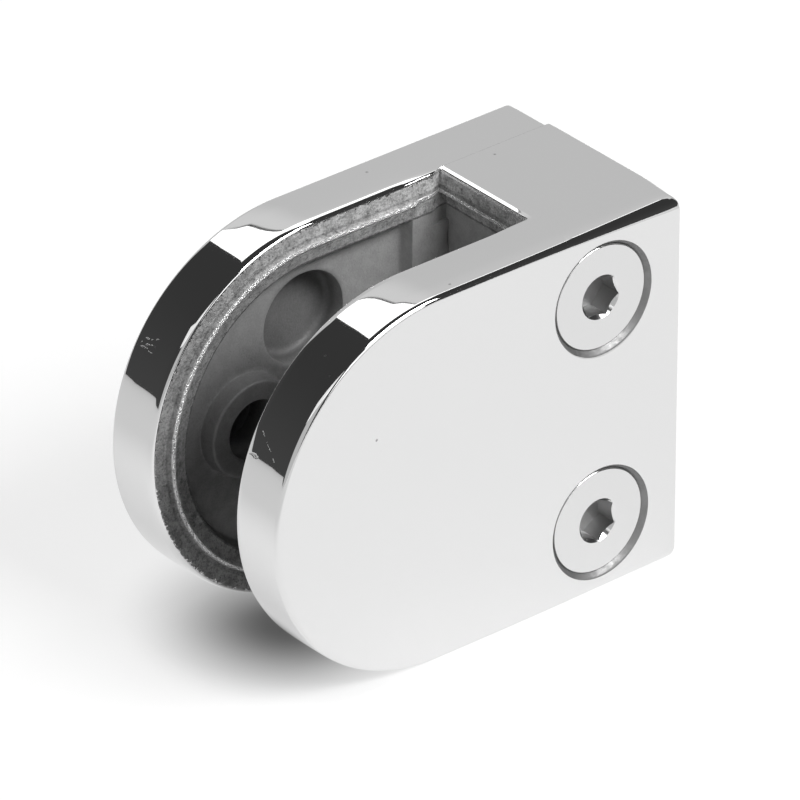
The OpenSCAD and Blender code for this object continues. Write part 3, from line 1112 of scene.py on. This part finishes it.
# %% Heights across each form, as (distance, height)
BEAD_FEET = [(2.0, 0.0), (2.1, 0.05), (2.25, 0.2), (2.4, 0.31), (2.6, 0.35), (2.8, 0.32),
             (3.1, 0.23), (3.9, 0.04), (4.2, 0.0)]
BEAD_FADE = (-17.7, -17.0)
POCKET_INSET, POCKET_END = 4.3, -17.7
POCKET_WALL = [(-0.12, 0.0), (0.0, -0.05), (0.06, -0.2), (0.31, -1.25), (0.38, -1.42),
               (0.48, -1.49), (0.62, -1.5)]
PIT_CENTRES = [(-30.0, 8.75), (-30.0, -8.75)]
PIT_RADIUS, PIT_DEPTH, PIT_FOOT = 4.9, 2.7, 0.8
PIT_WALL = [
    (3.9, -PIT_DEPTH),
    *((PIT_RADIUS - 0.05 - PIT_FOOT * (1 - math.sin(a)), PIT_FOOT * (1 - math.cos(a)) - PIT_DEPTH)
      for a in (math.radians(d) for d in (15, 30, 45, 60, 75, 90))),
    (4.87, -0.25), (4.92, -0.08), (5.05, 0.0)]
BOSS_TOP = 1.5 + 0.35
BOSS_WALL = [
    (2.9, BOSS_TOP - 4.6), (3.05, BOSS_TOP - 4.5), (3.1, BOSS_TOP - 0.25),
    (3.14, BOSS_TOP - 0.08), (3.3, BOSS_TOP), (4.9, BOSS_TOP), (5.04, BOSS_TOP - 0.04),
    (5.12, BOSS_TOP - 0.15), (5.16, BOSS_TOP - 0.35), (5.26, 0.25), (5.32, 0.08), (5.45, 0.0)]


def read_table(table, value):
    """Height at a value, straight between the rows of a table and level outside it."""
    if value <= table[0][0]:
        return table[0][1]
    for (low, low_height), (high, high_height) in zip(table, table[1:]):
        if value <= high:
            return low_height + (high_height - low_height) * (value - low) / (high - low)
    return table[-1][1]


# %% Height of the skin
def inset_at(x, z):
    """Distance from the outline of the jaw."""
    return half_height / MM - math.hypot(min(0.0, x - end_centre / MM), z)


def pit_distance(x, z):
    """Distance from the middle of the nearer pit."""
    return min(math.hypot(x - pit_x, z - pit_z) for pit_x, pit_z in PIT_CENTRES)


def boss_distance(x, z):
    """Distance from the middle of the boss."""
    return math.hypot(x - BOSS_CENTRE[0], z - BOSS_CENTRE[1])


def skin_height(x, z):
    """Height of the cast skin over the slot plane."""
    inset = inset_at(x, z)
    into_pocket = min(inset - POCKET_INSET, POCKET_END - x)
    return (read_table(BEAD_FEET, inset) * (1 - smooth(x, *BEAD_FADE))
            + read_table(POCKET_WALL, into_pocket)
            + read_table(PIT_WALL, pit_distance(x, z))
            + read_table(BOSS_WALL, boss_distance(x, z)))


def lumps(x, z, y):
    """Unevenness of the skin, which stays flat at the outline."""
    broad = noise.noise(Vector((x, z, y)) * 0.9) * 0.02
    fine = noise.noise(Vector((x, z, 3.0)) * 2.3) * 0.012
    return (broad + fine) * smooth(inset_at(x, z), EDGE_CLEAR, 0.9)


EDGE_CLEAR = 0.42
print(f"boss {skin_height(BOSS_CENTRE[0] + 4, 0):.2f} mm over the slot plane, "
      f"pit {-skin_height(*PIT_CENTRES[0]):.2f} mm under it")

# %% Lines that the mesh follows
RING_SPACING = 0.42
BACK_CLEAR = 0.25
D_INSETS = [0.55, 0.75, 1.0, 1.3, 1.6, 1.85, *(row[0] for row in BEAD_FEET),
            2.95, 3.35, 3.6, *(POCKET_INSET + row[0] for row in POCKET_WALL[1:])]


def d_ring(inset, back):
    """Open line along the jaw at an inset, from the back to the back round the tip."""
    radius = half_height / MM - inset
    centre = end_centre / MM
    straight = max(1, round((back - centre) / RING_SPACING))
    turns = round(math.pi * radius / RING_SPACING)
    run = [back + (centre - back) * i / straight for i in range(straight)]
    return ([(x, -radius) for x in run]
            + [(centre - radius * math.sin(a), -radius * math.cos(a))
               for a in (math.pi * i / turns for i in range(turns + 1))]
            + [(x, radius) for x in reversed(run)])


def circle(centre, radius):
    """Closed ring of points."""
    count = max(8, round(2 * math.pi * radius / RING_SPACING))
    ring = [(centre[0] + radius * math.cos(a), centre[1] + radius * math.sin(a))
            for a in (2 * math.pi * (i + 0.37) / count for i in range(count))]
    return ring + ring[:1]


def skin_lines(back):
    """Every line that the mesh must follow, as lists of (x, z)."""
    lines = [d_ring(inset, back - BACK_CLEAR if inset < POCKET_INSET
                    else POCKET_END - (inset - POCKET_INSET)) for inset in D_INSETS]
    for into, _ in POCKET_WALL[1:]:
        half = half_height / MM - POCKET_INSET - into
        count = round(2 * half / RING_SPACING)
        lines.append([(POCKET_END - into, -half + 2 * half * i / count) for i in range(count + 1)])
    lines += [circle(centre, radius) for centre in PIT_CENTRES for radius, _ in PIT_WALL]
    return lines + [circle(BOSS_CENTRE, radius) for radius, _ in BOSS_WALL]


# %% Loose points between the lines
FLOOR_SPACING = 0.46
ROW_SPACING = FLOOR_SPACING * 0.87
REACH_X, REACH_Z = 52, 22
POINT_CLEAR = 0.2
BOSS_LAND = (3.5, 4.75)


def wants_point(x, z, back):
    """Whether a place lies on a floor, a land or the top of the boss, clear of the lines."""
    inset = inset_at(x, z)
    from_pit, from_boss = pit_distance(x, z), boss_distance(x, z)
    in_pocket = min(inset - POCKET_INSET, POCKET_END - x) > 0.75
    behind = min(back - 0.3 - x, x - POCKET_END - POINT_CLEAR, inset - 4.4) > 0
    gap = min(from_pit - PIT_WALL[-1][0], from_boss - BOSS_WALL[-1][0])
    return ((in_pocket or behind) and gap > POINT_CLEAR
            or from_pit < PIT_WALL[0][0] - POINT_CLEAR
            or from_boss < BOSS_WALL[0][0] - POINT_CLEAR
            or BOSS_LAND[0] < from_boss < BOSS_LAND[1])


def loose_points(back):
    """Staggered grid of the places that want a point."""
    rows = range(-int(REACH_Z / FLOOR_SPACING), int(REACH_Z / FLOOR_SPACING))
    grid = [(-REACH_X + (i + 0.5 * (j % 2)) * FLOOR_SPACING, (j + 0.31) * ROW_SPACING)
            for i in range(int(REACH_X / FLOOR_SPACING)) for j in rows]
    return [place for place in grid if wants_point(*place, back)]


bridge_mm = bridge_edge / MM
print(len(skin_lines(bridge_mm)), "lines,", len(loose_points(bridge_mm)), "loose points")


# %% Hole for the skin
def open_slot_face(bm, slot_plane):
    """Takes the flat face in the slot away; returns the corners and the edges round the hole."""
    def is_flat(face):
        centre = face.calc_center_median()
        return (abs(face.normal.y) > 0.99 and abs(centre.y - slot_plane) < 1e-5
                and centre.x < sunk_wall + 0.1 * MM)

    flat = [face for face in bm.faces if is_flat(face)]
    inside = set(flat)
    rim = [e for e in bm.edges if sum(face in inside for face in e.link_faces) == 1]
    corners = sorted({v for e in rim for v in e.verts}, key=lambda v: v.index)
    bmesh.ops.delete(bm, geom=flat, context="FACES_KEEP_BOUNDARY")
    return corners, rim


def follow(lines, clear, points, edges):
    """Adds the parts of the lines that are clear of the rim, as points joined by edges."""
    for line in lines:
        joined = False
        for place in line:
            if not clear(place):
                joined = False
                continue
            if joined:
                edges.append((len(points) - 1, len(points)))
            points.append(Vector(place))
            joined = True


# %% Cast skin in place of the flat face
def add_skin(piece, slot_plane, outwards, back_at):
    """Swaps the flat face in the slot for the cast skin.

    outwards is the way it faces along Y, and back_at(z) says how far back its points go."""
    bm = bmesh.new()
    bm.from_mesh(piece.data)
    corners, rim = open_slot_face(bm, slot_plane)
    number = {v: i for i, v in enumerate(corners)}
    points = [Vector((v.co.x, v.co.z)) / MM for v in corners]
    edges = [tuple(number[v] for v in e.verts) for e in rim]

    def clear(place):
        return inset_at(*place) > EDGE_CLEAR and place[0] < back_at(place[1])

    follow(skin_lines(bridge_mm), clear, points, edges)
    points += [Vector(place) for place in loose_points(bridge_mm) if clear(place)]
    found, _, faces, origin, _, _ = delaunay_2d_cdt(points, edges, [], 1, 1e-4)
    made = []
    for (x, z), sources in zip(found, origin):
        at_rim = [s for s in sources if s < len(corners)]
        if at_rim:
            made.append(corners[at_rim[0]])
            continue
        height = (skin_height(x, z) + lumps(x, z, slot_plane / MM)) * MM
        made.append(bm.verts.new((x * MM, slot_plane + outwards * height, z * MM)))
    for face in faces:
        around = {made[i]: None for i in face}
        if len(around) == 3 and bm.faces.get(list(around)) is None:
            skin = bm.faces.new(list(around))
            skin.material_index = RAW
            skin.normal_update()
            if skin.normal.y * outwards < 0:
                skin.normal_flip()
    bmesh.ops.delete(bm, geom=[e for e in bm.edges if not e.link_faces], context="EDGES")
    open_edges = sum(len(e.link_faces) != 2 for e in bm.edges)
    bm.to_mesh(piece.data)
    bm.free()
    print(piece.name, "skin faces:", len(faces), "open edges:", open_edges)


# %% Both skins
def plate_back_at(z):
    """The skin of the plate stops earlier beside the tongue, where the rebate slopes off."""
    return bridge_mm - (1.35 if abs(z) > TONGUE_HALF / MM - 0.05 else 0.05)


add_skin(body, body_slot, 1, lambda z: bridge_mm - 0.05)
add_skin(plate, plate_slot, -1, plate_back_at)
soft_shading(body)
soft_shading(plate)

# %% [markdown]
# ## Screws
# Two countersunk socket screws draw the plate onto the bridge. The head is turned, so
# its face keeps faint rings, and a broached hexagon with a chamfered mouth drives it.
# The whole screw comes off the lathe helper. Its thread is a real helix, because the
# radius of each row changes with the angle, faded out at both ends as a rolled thread
# runs out.

# %% Head
HEAD_EDGE = 0.16 * MM
HEAD_RIM = 0.3 * MM
HEAD_DISH = 0.03 * MM
FACE_RINGS = 22
SHANK_RADIUS = 2.95 * MM
NECK_RADIUS = SHANK_RADIUS + 0.1 * MM


def head_profile():
    """Half section of the head, from the middle of its face down the cone to the shank."""
    face = []
    for i in range(FACE_RINGS + 1):
        share = i / FACE_RINGS
        dish = HEAD_DISH * (1 - share ** 2) + 0.006 * MM * math.sin(share * 26)
        face.append((share * (head_radius - HEAD_EDGE), max(0.0, dish)))
    edge = [(head_radius - HEAD_EDGE * (1 - math.sin(a)), HEAD_EDGE * (1 - math.cos(a)))
            for a in (math.pi / 8 * i for i in range(1, 5))]
    return [*face, *edge, (head_radius, HEAD_RIM),
            (NECK_RADIUS, HEAD_RIM + head_radius - NECK_RADIUS)]


# %% Thread
THREAD_PITCH = 1.0 * MM
THREAD_ROOT = 2.42 * MM
THREAD_RUNOUT = 1.2 * MM
PLAIN_NECK = 2 * MM
PITCH_STEPS = 8
TIP_CHAMFER = 0.5 * MM
TIP_RADIUS = 2.3 * MM


def thread_row(along, start, end):
    """Radius of the thread for each angle, at one place along the shank."""
    share = smooth(along, start, start + THREAD_RUNOUT)
    share *= 1 - smooth(along, end - THREAD_RUNOUT, end)

    def radius(a):
        phase = (along / THREAD_PITCH - a / (2 * math.pi)) % 1.0
        depth = 1 - smooth(abs(phase * 2 - 1), 0.12, 0.9)
        return SHANK_RADIUS - (SHANK_RADIUS - THREAD_ROOT) * depth * share

    return radius


def thread_profile():
    """Rows of the shank, from under the head to the chamfered tip."""
    start = head_profile()[-1][1] + 0.1 * MM
    length = screw_tip - head_top
    rows = int((length - start) / THREAD_PITCH * PITCH_STEPS)
    places = [start + (length - TIP_CHAMFER - start) * k / rows for k in range(rows + 1)]
    return ([(thread_row(along, start + PLAIN_NECK, length), along) for along in places]
            + [(TIP_RADIUS, length)])


print("rows of a screw:", len(head_profile()), "in the head,", len(thread_profile()), "below")


# %% Screw steel
def build_steel():
    """Stainless steel, turned and then tumbled."""
    material, tree, shader = new_metal("screw_steel", 0.76, 0.14)
    wobble = place_group(tree, wobble_group, own_place(tree), Wave=1.2, Hairs=0.3)
    feed(tree, shader["Normal"], bump(tree, wobble["Height"], 0.004 * MM))
    feed(tree, shader["Roughness"], ramp(tree, wobble["Hairs"], 0, 0.3, 0.13, 0.26))
    return material


steel = build_steel()

# %% Socket and screws
SOCKET_FLATS = 4.0 * MM
SOCKET_DEPTH = 2.4 * MM
SOCKET_LEAD = 0.5 * MM
DRILL_RADIUS = 1.9 * MM
MOUTH_RADIUS = 2.37 * MM
SCREW_SEGMENTS = 64


def socket_tools(top, turned):
    """The broach, which is turned by some degrees, the mouth's chamfer and the drill's cone."""
    corner = SOCKET_FLATS / 2 / math.cos(math.radians(30))
    hexagon = [top + Vector((math.cos(a) * corner, -SOCKET_LEAD, math.sin(a) * corner))
               for a in (math.radians(60 * i - turned) for i in range(6))]
    mouth = [(MOUTH_RADIUS + SOCKET_LEAD, -SOCKET_LEAD), (MOUTH_RADIUS, 0.0),
             (DRILL_RADIUS, MOUTH_RADIUS - DRILL_RADIUS)]
    cone = [(DRILL_RADIUS, SOCKET_DEPTH - 0.05 * MM), (0.0, SOCKET_DEPTH + 0.55 * MM)]
    return [prism("broach", hexagon, Vector((0, SOCKET_DEPTH + SOCKET_LEAD, 0)), broached),
            lathe("mouth", top, mouth, steel, SCREW_SEGMENTS),
            lathe("drill_cone", top, cone, broached, SCREW_SEGMENTS)]


def screw_piece(name, axis_z, turned):
    """One countersunk socket screw, with its thread and socket."""
    top = Vector((screw_x, head_top, axis_z))
    screw = lathe(name, top, head_profile() + thread_profile(), steel, SCREW_SEGMENTS)
    cut_with(screw, socket_tools(top, turned))
    soft_shading(screw)
    return screw


upper_screw = screw_piece("upper_screw_turned", screw_z, 10)
lower_screw = screw_piece("lower_screw_turned", -screw_z, 25)

# %% [markdown]
# ## Into the frame
# Every piece rides on the body that carries it in the imported model, and stands for the CAD solid
# it replaces.

# %% Ride and replace
fits = [
    (body, "body", "clamp_body", "polished_casting"),
    (plate, "plate", "clamp_plate", "polished_casting"),
    (upper_screw, "upper_screw", "upper_screw", "screw_steel"),
    (lower_screw, "lower_screw", "lower_screw", "screw_steel"),
]
for piece, body_name, cad_node, finish in fits:
    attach(piece, body_name)
    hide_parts(cad_node)
print("pieces:", [piece.name for piece, *_ in fits])
